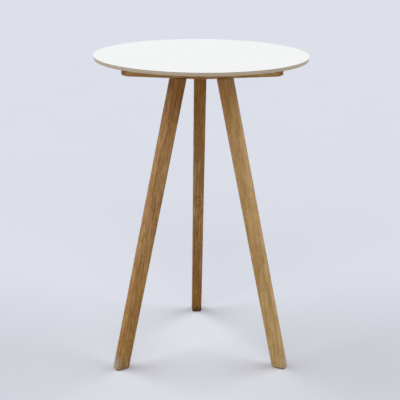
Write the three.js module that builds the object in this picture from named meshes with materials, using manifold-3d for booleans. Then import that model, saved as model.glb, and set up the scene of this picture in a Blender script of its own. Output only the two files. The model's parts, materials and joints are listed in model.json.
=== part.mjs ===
// A round standing meeting table: a thin laminated top on a three-armed oak frame with splayed legs.
// Millimetres, +Z up. The origin is on the floor under the middle of the top, and one leg stands toward +Y.
import * as THREE from 'three';
import { mergeVertices } from 'three/addons/utils/BufferGeometryUtils.js';
import Module from 'manifold-3d';

// Whole table
const TABLE_HEIGHT = 1050;
const TOP_DIAMETER = 700;
const ARM_SIDES = ['rear', 'left', 'right'];
const FIRST_ARM_ANGLE = Math.PI / 2;

// Top: laminate over plywood over a balancing sheet, with a rim that leans in towards the underside
const LAMINATE_THICKNESS = 0.8;
const CORE_THICKNESS = 10;
const BACKER_THICKNESS = 0.8;
const RIM_UNDERCUT = 3;
const LAMINATE_EASE = 0.4;

// Bearers: arms that taper from the middle to their ends and meet there in mitres
const BEARER_SETBACK = 66;
const BEARER_WIDTH = 34;
const BEARER_ROOT_DEPTH = 69.5;
const BEARER_END_DEPTH = 34;
const BEARER_EDGE_RADIUS = 1.5;
const BEARER_CORNER_RADIUS = 2.5;

// Legs: rounded rectangles that splay outwards; "out" is the distance from the table's axis
const LEG_TOP_OUT = 88.5;
const LEG_FOOT_OUT = 315.5;
const LEG_DEPTH = 47;
const LEG_TOP_WIDTH = 41.5;
const LEG_FOOT_WIDTH = 36.5;
const LEG_OUTER_RADIUS = 10;
const LEG_INNER_RADIUS = 5;
const LEG_END_EASE = 1.5;

// Dowels
const DOWEL_DIAMETER = 8;
const DOWEL_CHAMFER = 1;
const DOWEL_END_SPACE = 1;
const MITRE_DOWEL_LENGTH = 25;
const MITRE_DOWEL_OUT = 13;
const MITRE_DOWEL_INSET = 17;
const LEG_DOWEL_LENGTH = 40;
const LEG_DOWEL_SPREAD = 30;

// Leg bolt, its washer and the threaded insert in the leg
const BOLT_DIAMETER = 8;
const BOLT_LENGTH = 60;
const BOLT_HEAD_DIAMETER = 13;
const BOLT_HEAD_HEIGHT = 8;
const BOLT_SOCKET_ACROSS = 6;
const BOLT_SOCKET_DEPTH = 4;
const BOLT_HOLE_SPACE = 5;
const WASHER_DIAMETER = 20;
const WASHER_THICKNESS = 2;
const WASHER_SEAT_HEIGHT = 28;
const INSERT_DIAMETER = 12;
const INSERT_LENGTH = 25;
const INSERT_SETBACK = 0.5;
const THREAD_CHAMFER = 1;

// Screws that hold the top down, driven up through counterbored holes in the bearers
const SCREW_DIAMETER = 4.5;
const SCREW_HEAD_DIAMETER = 9;
const SCREW_HEAD_HEIGHT = 3.2;
const SCREW_HEAD_ROUND = 1.2;
const SCREW_DRIVE_ACROSS = 3;
const SCREW_DRIVE_DEPTH = 1.8;
const SCREW_POINT = 4;
const SCREW_GRIP = 16;
const SCREW_COVER = 2;
const SCREW_COUNTERBORE_DIAMETER = 12;
const SCREW_INNER_OUT = 150;
const SCREW_END_MARGIN = 30;

// Foot glides: a pad the shape of the leg's end, moulded around the head of a nail
const GLIDE_INSET = 1.5;
const GLIDE_HEIGHT = 3;
const GLIDE_EDGE_RADIUS = 0.8;
const NAIL_DIAMETER = 2.5;
const NAIL_LENGTH = 20;
const NAIL_POINT = 3;
const NAIL_HEAD_DIAMETER = 10;
const NAIL_HEAD_HEIGHT = 0.8;
const NAIL_HEAD_COVER = 1;

// Gaps between neighbours: round a shaft or along a cut face, and under a seated face
const FIT_GAP = 0.3;
const SEAT_GAP = 0.05;

// Facets
const RIM_STEPS = 96;
const ROUND_STEPS = 16;
const CORNER_STEPS = 5;
const EDGE_STEPS = 3;
const WELD = 1e-4;

// Finishes
const WHITE_LAMINATE = { color: 0xf3f3f1, roughness: 0.35, metalness: 0 };
const BACKER_LAMINATE = { color: 0xe4e2dd, roughness: 0.5, metalness: 0 };
const BIRCH_PLY = { color: 0xbfa884, roughness: 0.6, metalness: 0 };
const OILED_OAK = { color: 0xa07a48, roughness: 0.55, metalness: 0 };
const BEECH = { color: 0xd2b48a, roughness: 0.65, metalness: 0 };
const ZINC_STEEL = { color: 0xb4b6b8, roughness: 0.35, metalness: 1 };
const DARK_NYLON = { color: 0x2b2623, roughness: 0.6, metalness: 0 };

// Heights and slopes that follow from the sizes
const TOP_THICKNESS = LAMINATE_THICKNESS + CORE_THICKNESS + BACKER_THICKNESS;
const CORE_TOP = TABLE_HEIGHT - LAMINATE_THICKNESS;
const CORE_UNDERSIDE = CORE_TOP - CORE_THICKNESS;
const FRAME_TOP = CORE_UNDERSIDE - BACKER_THICKNESS;
const BEARER_REACH = TOP_DIAMETER / 2 - BEARER_SETBACK;
const BEARER_RISE = (BEARER_ROOT_DEPTH - BEARER_END_DEPTH) / BEARER_REACH;
const ARM_STEP = (2 * Math.PI) / ARM_SIDES.length;
const JOINT_HEIGHT = bearerUnderside(LEG_TOP_OUT);
const LEG_LEAN = (LEG_TOP_OUT - LEG_FOOT_OUT) / JOINT_HEIGHT;

const wasm = await Module();
wasm.setup();

// Height of a bearer's underside at a distance from the table's axis
function bearerUnderside(out) {
  return FRAME_TOP - BEARER_ROOT_DEPTH + BEARER_RISE * out;
}

// Distance of a leg's middle from the table's axis at a height
function legOut(height) {
  return LEG_FOOT_OUT + LEG_LEAN * height;
}

function legWidth(height) {
  return LEG_FOOT_WIDTH + ((LEG_TOP_WIDTH - LEG_FOOT_WIDTH) * height) / JOINT_HEIGHT;
}

// A closed three.js surface as a solid that can be cut
function solidOf(geometry) {
  const bare = geometry.clone();
  bare.deleteAttribute('normal');
  bare.deleteAttribute('uv');
  const welded = mergeVertices(bare, WELD);
  const corners = welded.index.array;
  const triangles = [];
  for (let i = 0; i < corners.length; i += 3) {
    const [a, b, c] = corners.slice(i, i + 3);
    if (a !== b && b !== c && c !== a) triangles.push(a, b, c);
  }
  return new wasm.Manifold(new wasm.Mesh({
    numProp: 3,
    vertProperties: new Float32Array(welded.attributes.position.array),
    triVerts: new Uint32Array(triangles),
  }));
}

// The blank with every tool cut out of it
function cut(blank, tools) {
  const solid = tools.reduce((rest, tool) => rest.subtract(solidOf(tool)), solidOf(blank));
  const mesh = solid.getMesh();
  const geometry = new THREE.BufferGeometry();
  geometry.setAttribute('position', new THREE.BufferAttribute(mesh.vertProperties, 3));
  geometry.setIndex(new THREE.BufferAttribute(mesh.triVerts, 1));
  return geometry;
}

// Moves every corner of a geometry to where place(x, y, z) says
function reshape(geometry, place) {
  const position = geometry.attributes.position;
  for (let i = 0; i < position.count; i += 1) {
    position.setXYZ(i, ...place(position.getX(i), position.getY(i), position.getZ(i)));
  }
  return geometry;
}

// A solid turned about +Z from a profile of [radius, height] points, listed upwards on the outside
function turned(profile, steps = ROUND_STEPS) {
  const points = profile.map(([radius, height]) => new THREE.Vector2(radius, height));
  return new THREE.LatheGeometry(points, steps).rotateX(Math.PI / 2);
}

// A plain cylinder about +Z between two heights
function rod(diameter, low, high, steps = ROUND_STEPS) {
  const radius = diameter / 2;
  return turned([[0, low], [radius, low], [radius, high], [0, high]], steps);
}

// A six-sided prism about +Z, for a driver's socket
function hexagon(across, low, high) {
  return rod(across / Math.cos(Math.PI / 6), low, high, 6);
}

// A round pin about +Z, centred on the origin, with chamfered ends
function dowel(length) {
  const radius = DOWEL_DIAMETER / 2;
  const neck = radius - DOWEL_CHAMFER;
  const end = length / 2;
  const shoulder = end - DOWEL_CHAMFER;
  return turned([[0, -end], [neck, -end], [radius, -shoulder], [radius, shoulder], [neck, end], [0, end]]);
}

function dowelHole(length) {
  const end = length / 2 + DOWEL_END_SPACE;
  return rod(DOWEL_DIAMETER + 2 * FIT_GAP, -end, end);
}

// Lays a piece made about +Z across a mitre: its axis square to the mitre plane, which holds +X
function acrossMitre(geometry, level) {
  return geometry.rotateX(-Math.PI / 2).translate(MITRE_DOWEL_OUT, 0, level);
}

// Stands a piece made about +Z on the joint between leg and bearer, square to the bearer's underside
function onJoint(geometry, along = 0) {
  return geometry
    .translate(along, 0, 0)
    .rotateY(-Math.atan(BEARER_RISE))
    .translate(LEG_TOP_OUT, 0, JOINT_HEIGHT);
}

// Radius of the leaning rim at a height below its eased upper edge
function rimRadius(height) {
  const below = TABLE_HEIGHT - LAMINATE_EASE - height;
  return TOP_DIAMETER / 2 - (RIM_UNDERCUT * below) / (TOP_THICKNESS - LAMINATE_EASE);
}

// One layer of the top between two heights, with its upper edge eased
function topLayer(low, high, ease) {
  return turned([
    [0, low],
    [rimRadius(low), low],
    [rimRadius(high - ease), high - ease],
    [rimRadius(high - ease) - ease, high],
    [0, high],
  ], RIM_STEPS);
}

function screwOuts() {
  return [SCREW_INNER_OUT, BEARER_REACH - SCREW_END_MARGIN];
}

// Holes for every top screw, between two heights, in the table's own frame
function screwHoles(low, high) {
  return ARM_SIDES.flatMap((_, index) => screwOuts().map((out) => (
    rod(SCREW_DIAMETER + 2 * FIT_GAP, low, high)
      .translate(out, 0, 0)
      .rotateZ(FIRST_ARM_ANGLE + index * ARM_STEP)
  )));
}

function topScrewTip() {
  return CORE_TOP - SCREW_COVER;
}

// A bearer along +X: pointed in plan at its mitred end, rounded at the other, rising underneath
function bearerBlank() {
  const half = BEARER_WIDTH / 2;
  const mitre = ARM_STEP / 2;
  const tip = FIT_GAP / 2 / Math.sin(mitre);
  const shoulder = tip + half / Math.tan(mitre);
  const round = BEARER_REACH - BEARER_CORNER_RADIUS;
  const plan = new THREE.Shape();
  plan.moveTo(tip, 0);
  plan.lineTo(shoulder, -half);
  plan.lineTo(round, -half);
  plan.absarc(round, BEARER_CORNER_RADIUS - half, BEARER_CORNER_RADIUS, -Math.PI / 2, 0, false);
  plan.absarc(round, half - BEARER_CORNER_RADIUS, BEARER_CORNER_RADIUS, 0, Math.PI / 2, false);
  plan.lineTo(shoulder, half);
  const blank = new THREE.ExtrudeGeometry(plan, {
    depth: BEARER_ROOT_DEPTH,
    bevelThickness: BEARER_EDGE_RADIUS,
    bevelSize: BEARER_EDGE_RADIUS,
    bevelOffset: -BEARER_EDGE_RADIUS,
    bevelSegments: EDGE_STEPS,
    curveSegments: EDGE_STEPS,
  });
  return reshape(blank, (x, y, z) => {
    const base = z > 0 ? FRAME_TOP - BEARER_ROOT_DEPTH : bearerUnderside(x);
    return [x, y, base + BEARER_EDGE_RADIUS + z];
  });
}

// Everything above the frame's flat top
function frameTopTrim() {
  const size = 2 * BEARER_REACH;
  return new THREE.BoxGeometry(2 * size, size, size).translate(0, 0, FRAME_TOP + size / 2);
}

function mitreLevels() {
  return [FRAME_TOP - MITRE_DOWEL_INSET, FRAME_TOP - BEARER_ROOT_DEPTH + MITRE_DOWEL_INSET];
}

function makeBearer() {
  const mitreHoles = [-1, 1].flatMap((side) => mitreLevels().map((level) => (
    acrossMitre(dowelHole(MITRE_DOWEL_LENGTH), level).rotateZ((side * ARM_STEP) / 2)
  )));
  const legHoles = [-1, 1].map((side) => (
    onJoint(dowelHole(LEG_DOWEL_LENGTH), (side * LEG_DOWEL_SPREAD) / 2)
  ));
  const boltHoles = [
    onJoint(rod(BOLT_DIAMETER + 2 * FIT_GAP, -BOLT_DIAMETER, WASHER_SEAT_HEIGHT + BOLT_DIAMETER)),
    onJoint(rod(WASHER_DIAMETER + 2 * FIT_GAP, WASHER_SEAT_HEIGHT, 2 * BEARER_ROOT_DEPTH)),
  ];
  const seat = FRAME_TOP - SCREW_GRIP;
  const floor = FRAME_TOP - 2 * BEARER_ROOT_DEPTH;
  const topHoles = screwOuts().flatMap((out) => [
    rod(SCREW_DIAMETER + 2 * FIT_GAP, floor, FRAME_TOP + SCREW_GRIP).translate(out, 0, 0),
    rod(SCREW_COUNTERBORE_DIAMETER, floor, seat).translate(out, 0, 0),
  ]);
  return cut(bearerBlank(), [frameTopTrim(), ...mitreHoles, ...legHoles, ...boltHoles, ...topHoles]);
}

// The section of a leg or its glide: a rectangle about the origin, rounder on the outer side, which is +X
function roundedSection(depth, width, outerRadius, innerRadius) {
  const outerX = depth / 2 - outerRadius;
  const outerY = width / 2 - outerRadius;
  const innerX = depth / 2 - innerRadius;
  const innerY = width / 2 - innerRadius;
  const section = new THREE.Shape();
  section.absarc(outerX, outerY, outerRadius, 0, Math.PI / 2, false);
  section.absarc(-innerX, innerY, innerRadius, Math.PI / 2, Math.PI, false);
  section.absarc(-innerX, -innerY, innerRadius, Math.PI, 1.5 * Math.PI, false);
  section.absarc(outerX, -outerY, outerRadius, 1.5 * Math.PI, 2 * Math.PI, false);
  return section;
}

// A leg leaning along +X, flat at the floor end and cut at the top to the slope of its bearer
function legBlank() {
  const section = roundedSection(LEG_DEPTH, LEG_TOP_WIDTH, LEG_OUTER_RADIUS, LEG_INNER_RADIUS);
  const blank = new THREE.ExtrudeGeometry(section, {
    depth: JOINT_HEIGHT,
    bevelThickness: LEG_END_EASE,
    bevelSize: LEG_END_EASE,
    bevelOffset: -LEG_END_EASE,
    bevelSegments: 1,
    curveSegments: CORNER_STEPS,
  });
  return reshape(blank, (x, y, z) => {
    const top = (bearerUnderside(LEG_FOOT_OUT + x) - FIT_GAP) / (1 - BEARER_RISE * LEG_LEAN);
    const height = z > 0 ? top + z - JOINT_HEIGHT - LEG_END_EASE : GLIDE_HEIGHT + LEG_END_EASE + z;
    const widening = (legWidth(height) - LEG_TOP_WIDTH) / 2;
    return [x + legOut(height), y + Math.sign(y) * widening, height];
  });
}

function insertLow() {
  return -INSERT_SETBACK - INSERT_LENGTH;
}

function boltTip() {
  return WASHER_SEAT_HEIGHT + WASHER_THICKNESS + 2 * SEAT_GAP - BOLT_LENGTH;
}

function makeLeg() {
  const dowelHoles = [-1, 1].map((side) => (
    onJoint(dowelHole(LEG_DOWEL_LENGTH), (side * LEG_DOWEL_SPREAD) / 2)
  ));
  const boltEnd = boltTip() - BOLT_HOLE_SPACE;
  const boltHoles = [
    onJoint(rod(INSERT_DIAMETER + 2 * FIT_GAP, insertLow() - SEAT_GAP, INSERT_DIAMETER)),
    onJoint(rod(BOLT_DIAMETER + 2 * FIT_GAP, boltEnd, INSERT_DIAMETER)),
  ];
  const nailHole = rod(NAIL_DIAMETER + 2 * FIT_GAP, 0, GLIDE_HEIGHT + NAIL_LENGTH + FIT_GAP)
    .translate(legOut(GLIDE_HEIGHT), 0, 0);
  return cut(legBlank(), [...dowelHoles, ...boltHoles, nailHole]);
}

function makeBolt() {
  const shank = BOLT_DIAMETER / 2;
  const head = BOLT_HEAD_DIAMETER / 2;
  const tip = boltTip();
  const under = tip + BOLT_LENGTH;
  const top = under + BOLT_HEAD_HEIGHT;
  const blank = turned([
    [0, tip],
    [shank - THREAD_CHAMFER, tip],
    [shank, tip + THREAD_CHAMFER],
    [shank, under],
    [head, under],
    [head, top - THREAD_CHAMFER],
    [head - THREAD_CHAMFER, top],
    [0, top],
  ]);
  return onJoint(cut(blank, [hexagon(BOLT_SOCKET_ACROSS, top - BOLT_SOCKET_DEPTH, top + BOLT_SOCKET_DEPTH)]));
}

function makeWasher() {
  const bore = BOLT_DIAMETER / 2 + FIT_GAP;
  const rim = WASHER_DIAMETER / 2;
  const low = WASHER_SEAT_HEIGHT + SEAT_GAP;
  const high = low + WASHER_THICKNESS;
  return onJoint(turned([[bore, low], [rim, low], [rim, high], [bore, high], [bore, low]]));
}

function makeInsert() {
  const bore = BOLT_DIAMETER / 2 + FIT_GAP;
  const rim = INSERT_DIAMETER / 2;
  const low = insertLow();
  const high = -INSERT_SETBACK;
  return onJoint(turned([
    [bore, low],
    [rim - THREAD_CHAMFER, low],
    [rim, low + THREAD_CHAMFER],
    [rim, high],
    [bore, high],
    [bore, low],
  ]));
}

// A pan-head screw pointing up, with its drive facing the floor
function makeTopScrew(out) {
  const shank = SCREW_DIAMETER / 2;
  const head = SCREW_HEAD_DIAMETER / 2;
  const seat = FRAME_TOP - SCREW_GRIP;
  const low = seat - SCREW_HEAD_HEIGHT;
  const tip = topScrewTip();
  const blank = turned([
    [0, low],
    [head - SCREW_HEAD_ROUND, low],
    [head, low + SCREW_HEAD_ROUND],
    [head, seat],
    [shank, seat],
    [shank, tip - SCREW_POINT],
    [0, tip],
  ]);
  const drive = hexagon(SCREW_DRIVE_ACROSS, low - SCREW_DRIVE_DEPTH, low + SCREW_DRIVE_DEPTH);
  return cut(blank, [drive]).translate(out, 0, 0);
}

function glideBlank() {
  const depth = LEG_DEPTH - 2 * GLIDE_INSET;
  const width = LEG_FOOT_WIDTH - 2 * GLIDE_INSET;
  const outerRadius = LEG_OUTER_RADIUS - GLIDE_INSET;
  const innerRadius = LEG_INNER_RADIUS - GLIDE_INSET;
  const blank = new THREE.ExtrudeGeometry(roundedSection(depth, width, outerRadius, innerRadius), {
    depth: GLIDE_HEIGHT,
    bevelThickness: GLIDE_EDGE_RADIUS,
    bevelSize: GLIDE_EDGE_RADIUS,
    bevelOffset: -GLIDE_EDGE_RADIUS,
    bevelSegments: EDGE_STEPS,
    curveSegments: CORNER_STEPS,
  });
  return blank.translate(0, 0, GLIDE_EDGE_RADIUS);
}

function makeGlide() {
  const under = NAIL_HEAD_COVER + NAIL_HEAD_HEIGHT;
  const pocket = rod(NAIL_HEAD_DIAMETER + 2 * FIT_GAP, NAIL_HEAD_COVER, under + FIT_GAP);
  const bore = rod(NAIL_DIAMETER + 2 * FIT_GAP, under, 2 * GLIDE_HEIGHT);
  const size = 2 * LEG_DEPTH;
  const trim = new THREE.BoxGeometry(size, size, size).translate(0, 0, GLIDE_HEIGHT + size / 2);
  return cut(glideBlank(), [trim, pocket, bore]).translate(legOut(GLIDE_HEIGHT), 0, 0);
}

function makeNail() {
  const shank = NAIL_DIAMETER / 2;
  const head = NAIL_HEAD_DIAMETER / 2;
  const low = NAIL_HEAD_COVER;
  const under = low + NAIL_HEAD_HEIGHT;
  const tip = GLIDE_HEIGHT + NAIL_LENGTH;
  return turned([
    [0, low],
    [head, low],
    [head, under],
    [shank, under],
    [shank, tip - NAIL_POINT],
    [0, tip],
  ]).translate(legOut(GLIDE_HEIGHT), 0, 0);
}

function piece(name, geometry, finish) {
  const shape = geometry.clone();
  shape.computeVertexNormals();
  const mesh = new THREE.Mesh(shape, new THREE.MeshStandardMaterial({ ...finish, flatShading: true }));
  mesh.name = name;
  return mesh;
}

// The pieces of one arm, made along +X and turned into place three times
const [innerScrewOut, outerScrewOut] = screwOuts();
const armPieces = [
  ['bearer', makeBearer(), OILED_OAK],
  ['leg', makeLeg(), OILED_OAK],
  ['leg_dowel_inner', onJoint(dowel(LEG_DOWEL_LENGTH), -LEG_DOWEL_SPREAD / 2), BEECH],
  ['leg_dowel_outer', onJoint(dowel(LEG_DOWEL_LENGTH), LEG_DOWEL_SPREAD / 2), BEECH],
  ['leg_bolt', makeBolt(), ZINC_STEEL],
  ['leg_bolt_washer', makeWasher(), ZINC_STEEL],
  ['leg_insert', makeInsert(), ZINC_STEEL],
  ['top_screw_inner', makeTopScrew(innerScrewOut), ZINC_STEEL],
  ['top_screw_outer', makeTopScrew(outerScrewOut), ZINC_STEEL],
  ['foot_glide', makeGlide(), DARK_NYLON],
  ['glide_nail', makeNail(), ZINC_STEEL],
];

// The dowels of one mitre, made across a mitre along +X
const [upperLevel, lowerLevel] = mitreLevels();
const mitrePieces = [
  ['mitre_dowel_upper', acrossMitre(dowel(MITRE_DOWEL_LENGTH), upperLevel), BEECH],
  ['mitre_dowel_lower', acrossMitre(dowel(MITRE_DOWEL_LENGTH), lowerLevel), BEECH],
];

const coreHoles = screwHoles(FRAME_TOP, topScrewTip() + FIT_GAP);
const backerHoles = screwHoles(FRAME_TOP - BACKER_THICKNESS, CORE_TOP);

const group = new THREE.Group();
group.name = 'standing_meeting_table';
group.add(piece('top_laminate', topLayer(CORE_TOP, TABLE_HEIGHT, LAMINATE_EASE), WHITE_LAMINATE));
group.add(piece('top_core', cut(topLayer(CORE_UNDERSIDE, CORE_TOP, 0), coreHoles), BIRCH_PLY));
group.add(piece('top_backer', cut(topLayer(FRAME_TOP, CORE_UNDERSIDE, 0), backerHoles), BACKER_LAMINATE));

ARM_SIDES.forEach((side, index) => {
  const arm = new THREE.Group();
  arm.name = `arm_${side}`;
  arm.rotation.z = FIRST_ARM_ANGLE + index * ARM_STEP;
  armPieces.forEach(([name, geometry, finish]) => {
    arm.add(piece(`${name}_${side}`, geometry, finish));
  });
  group.add(arm);

  const next = ARM_SIDES[(index + 1) % ARM_SIDES.length];
  const mitre = new THREE.Group();
  mitre.name = `mitre_${side}_${next}`;
  mitre.rotation.z = arm.rotation.z + ARM_STEP / 2;
  mitrePieces.forEach(([name, geometry, finish]) => {
    mitre.add(piece(`${name}_${side}_${next}`, geometry, finish));
  });
  group.add(mitre);
});

export default group;
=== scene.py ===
"""Looks of a round standing meeting table: a thin white top on three oak bearers and splayed oak legs.

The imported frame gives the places, and everything here is in metres in that frame.
"""

import json
import math

import bmesh
import bpy
from mathutils import Euler, Matrix, Vector


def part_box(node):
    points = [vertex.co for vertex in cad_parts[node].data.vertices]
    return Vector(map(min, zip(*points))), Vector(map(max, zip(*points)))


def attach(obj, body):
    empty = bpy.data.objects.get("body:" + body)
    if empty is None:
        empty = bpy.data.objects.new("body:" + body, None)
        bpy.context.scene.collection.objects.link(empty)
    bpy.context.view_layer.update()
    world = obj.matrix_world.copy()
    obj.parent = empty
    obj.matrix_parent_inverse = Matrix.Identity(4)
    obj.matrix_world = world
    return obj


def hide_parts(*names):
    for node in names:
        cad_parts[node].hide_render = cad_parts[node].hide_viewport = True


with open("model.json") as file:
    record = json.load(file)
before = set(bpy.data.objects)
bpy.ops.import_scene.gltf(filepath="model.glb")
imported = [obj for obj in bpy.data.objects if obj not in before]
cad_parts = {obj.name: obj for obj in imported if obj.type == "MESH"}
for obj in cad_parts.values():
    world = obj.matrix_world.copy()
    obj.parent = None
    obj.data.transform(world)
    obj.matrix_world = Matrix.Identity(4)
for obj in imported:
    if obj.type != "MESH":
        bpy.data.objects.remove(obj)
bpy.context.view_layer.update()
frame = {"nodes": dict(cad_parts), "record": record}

bl_info = {
    "name": "Standing meeting table",
    "version": (1, 0, 0),
    "blender": (4, 5, 0),
    "location": "3D View > Sidebar > Table",
    "description": "Models the pieces of a round standing table, their finishes and a plain stage",
    "category": "Object",
}

ARMS = {"rear": math.radians(90), "left": math.radians(210), "right": math.radians(330)}
ROWS = ("inner", "outer")
OUT = Vector((1, 0, 0))
UP = Vector((0, 0, 1))
MITRE = math.radians(60)
NEAR = 1e-5
# Sides of the round top and of round holes
TOP_SIDES = 256
WIDE_HOLE = 48
HOLE = 32
NARROW_HOLE = 24
# Steps across a rounding
LONG_EDGE_STEPS = 8
CORNER_STEPS = 6
EDGE_STEPS = 4
EASE_STEPS = 3
# Faces that meet at less than this are shaded as one curve
SMOOTH_BELOW = math.radians(40)
# Scale at which a wave texture repeats once a metre
WAVE = math.pi / 10
# Sockets of a node that mixes colours, which go by number because others share their names
SHARE = 0
UNDER = 6
OVER = 7
MIXED = 2
# Roughness of the two laminates
SATIN = 0.36
MATT = 0.55
# Stage: the light's plain colour, the floor's size and how far the camera sees
WHITE = (1, 1, 1)
FLOOR_SIZE = 60
SIGHT = 200
# Each oak piece comes from its own board: its tone at its head, which holds painted shade under the top,
# in the middle and at the floor, where its pith lay beside the piece and how far that leaned, how strong
# its figure is, how far apart and deep its rings are, how far its foot is worn, how wide, high and dark the
# scuffs there are, and how much the dark marks thicken towards the floor
BOARDS = {
    "rear leg": {
        "painted_shade_head_tone": (1.13, 1.04, 0.87),
        "tone": (1.05, 1.06, 1.23),
        "foot_tone": (0.86, 0.78, 0.62),
        "pith": (0.02, 0.09, 0),
        "lean": (0.02, 0, 0),
        "figure": 1.25,
        "ring_gap": 0.009,
        "ring_depth": 0.6,
        "worn": 0.2,
        "scuff_size": (0.0035, 0.06),
        "scuffed": 0.95,
        "marks_to_floor": 0.27,
    },
    "left leg": {
        "painted_shade_head_tone": (0.87, 0.72, 0.64),
        "tone": (0.99, 0.92, 0.97),
        "foot_tone": (0.9, 0.8, 0.64),
        "pith": (0.004, -0.03, 0),
        "lean": (0.016, 0.06, 0),
        "figure": 1.0,
        "ring_gap": 0.0035,
        "ring_depth": 0.25,
        "worn": 1.0,
        "scuff_size": (0.016, 0.002),
        "scuffed": 1.0,
        "marks_to_floor": 0.12,
    },
    "right leg": {
        "painted_shade_head_tone": (1.04, 0.93, 0.87),
        "tone": (1.12, 1.1, 1.18),
        "foot_tone": (1.08, 1.1, 1.16),
        "pith": (0.11, 0.03, 0),
        "lean": (0, 0.1, 0),
        "figure": 0.65,
        "ring_gap": 0.0035,
        "ring_depth": 0.16,
        "worn": 0.6,
        "scuff_size": (0.014, 0.003),
        "scuffed": 0.2,
        "marks_to_floor": 0.04,
    },
    "bearer": {
        "painted_shade_head_tone": (1.29, 1.25, 1.32),
        "tone": (1.29, 1.25, 1.32),
        "foot_tone": (1.29, 1.25, 1.32),
        "pith": (0.03, 0.02, 0),
        "lean": (0.03, 0.02, 0),
        "figure": 0.8,
        "ring_gap": 0.0035,
        "ring_depth": 0.2,
        "worn": 0,
        "scuff_size": (0.014, 0.003),
        "scuffed": 0,
        "marks_to_floor": 0,
    },
}


def linear(code):
    """An sRGB hex colour as linear red, green and blue."""
    parts = [int(code[i : i + 2], 16) / 255 for i in (1, 3, 5)]
    return tuple(c / 12.92 if c <= 0.04045 else ((c + 0.055) / 1.055) ** 2.4 for c in parts)


def length(name, default, description):
    """A property that holds a size in metres."""
    return bpy.props.FloatProperty(
        name=name, description=description, default=default, min=0, precision=4, unit="LENGTH"
    )


def colour(name, code, description):
    """A property that holds a colour, given as sRGB hex."""
    return bpy.props.FloatVectorProperty(
        name=name, description=description, default=linear(code), size=3, min=0, max=1, subtype="COLOR"
    )


def angle(name, degrees, description):
    """A property that holds an angle."""
    return bpy.props.FloatProperty(
        name=name, description=description, default=math.radians(degrees), subtype="ANGLE"
    )


def strength(name, default, description):
    """A property that holds the strength of a light."""
    return bpy.props.FloatProperty(name=name, description=description, default=default, min=0)


class TableSizes(bpy.types.PropertyGroup):
    """Sizes of the table's pieces, as the solids have them, apart from the ease of a leg's head"""

    laminate_ease: length("Laminate ease", 0.0004, "Rounding of the white sheet's upper edge")
    bearer_edge: length("Bearer edge", 0.0015, "Rounding of a bearer's lower edges")
    bearer_corner: length("Bearer corner", 0.0025, "Rounding of a bearer's end corners")
    bearer_end_depth: length("Bearer end depth", 0.034, "Depth of a bearer at its outer end")
    leg_top_out: length("Leg top out", 0.0885, "Middle of a leg from the table's axis, at its bearer")
    leg_depth: length("Leg depth", 0.047, "Leg size away from the table's axis")
    leg_top_width: length("Leg top width", 0.0415, "Leg size across, at its bearer")
    leg_foot_width: length("Leg foot width", 0.0365, "Leg size across, at the floor")
    leg_outer_edge: length("Leg outer edge", 0.01, "Rounding of a leg's long edges away from the axis")
    leg_inner_edge: length("Leg inner edge", 0.005, "Rounding of a leg's long edges towards the axis")
    leg_foot_ease: length("Leg foot ease", 0.0015, "Rounding of a leg's edges at its glide")
    leg_head_ease: length("Leg head ease", 0.0004, "Rounding of a leg's edges at its bearer")
    glide_outer_corner: length("Glide outer corner", 0.0085, "Rounding in plan of a glide's outer corners")
    glide_inner_corner: length("Glide inner corner", 0.0035, "Rounding in plan of a glide's inner corners")
    glide_edge: length("Glide edge", 0.0008, "Rounding of a glide's lower edge")
    dowel_hole: length("Dowel hole", 0.0086, "Bore for a dowel")
    mitre_dowel_depth: length("Mitre dowel depth", 0.0135, "Depth of a dowel's bore each side of a mitre")
    leg_dowel_depth: length("Leg dowel depth", 0.021, "Depth of a dowel's bore on each side of a leg joint")
    bolt_hole: length("Bolt hole", 0.0086, "Bore for a leg bolt")
    bolt_depth: length("Bolt depth", 0.0349, "Depth of a leg bolt's bore in the leg")
    washer_hole: length("Washer hole", 0.0206, "Bore for a bolt's washer and head")
    washer_seat: length("Washer seat", 0.028, "Wood between the leg joint and the washer")
    insert_hole: length("Insert hole", 0.0126, "Bore for a threaded insert")
    insert_depth: length("Insert depth", 0.02555, "Depth of a threaded insert's bore in the leg")
    screw_hole: length("Screw hole", 0.0051, "Bore for a top screw")
    screw_counterbore: length("Screw counterbore", 0.012, "Bore that takes a screw's head")
    screw_grip: length("Screw grip", 0.016, "Wood between a screw's head and the top")
    nail_hole: length("Nail hole", 0.0031, "Bore for a glide's nail")
    nail_pocket: length("Nail pocket", 0.0106, "Hollow in a glide for the nail's head")
    nail_pocket_height: length("Nail pocket height", 0.0011, "Height of that hollow")
    fit_gap: length("Fit gap", 0.0003, "Gap along a cut face")


class TableColours(bpy.types.PropertyGroup):
    """Colours of the table's finishes"""

    oak_light: colour("Oak, light", "#cbad78", "Late wood and plain figure")
    oak_dark: colour("Oak, dark", "#9c7542", "Early wood")
    oak_pore: colour("Oak, pores", "#694625", "Open pores that hold the oil")
    oak_end: colour("Oak, end grain", "#80603a", "End grain, which drinks more oil")
    oak_worn: colour("Oak, worn", "#aa9f8f", "Rubbed and greyed wood close to the floor")
    scuff: colour("Scuffs", "#3c2a1a", "Dark marks that shoes and mops leave on the feet")
    laminate: colour("White laminate", "#f6f2ec", "Working surface")
    backer: colour("Backer laminate", "#dedbd4", "Sheet under the top")
    kraft: colour("Laminate core", "#6d5a49", "Resin-soaked paper that shows at a laminate's edge")
    ply_long: colour("Ply, long grain", "#ddcfb9", "Plies cut along their grain")
    ply_end: colour("Ply, end grain", "#b4a593", "Plies cut across their grain")
    beech: colour("Beech", "#d2b48a", "Dowels")
    zinc: colour("Zinc", "#b4b6b8", "Screws, bolts, washers, inserts and nails")
    nylon: colour("Nylon", "#2b2623", "Foot glides")
    floor: colour("Floor", "#dddce1", "Plain floor as it is seen")
    floor_bounce: colour("Floor bounce", "#ab9f8c", "Plain floor as it throws light back")
    backdrop: colour("Backdrop", "#e6e9f0", "Plain background above the floor")


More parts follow.
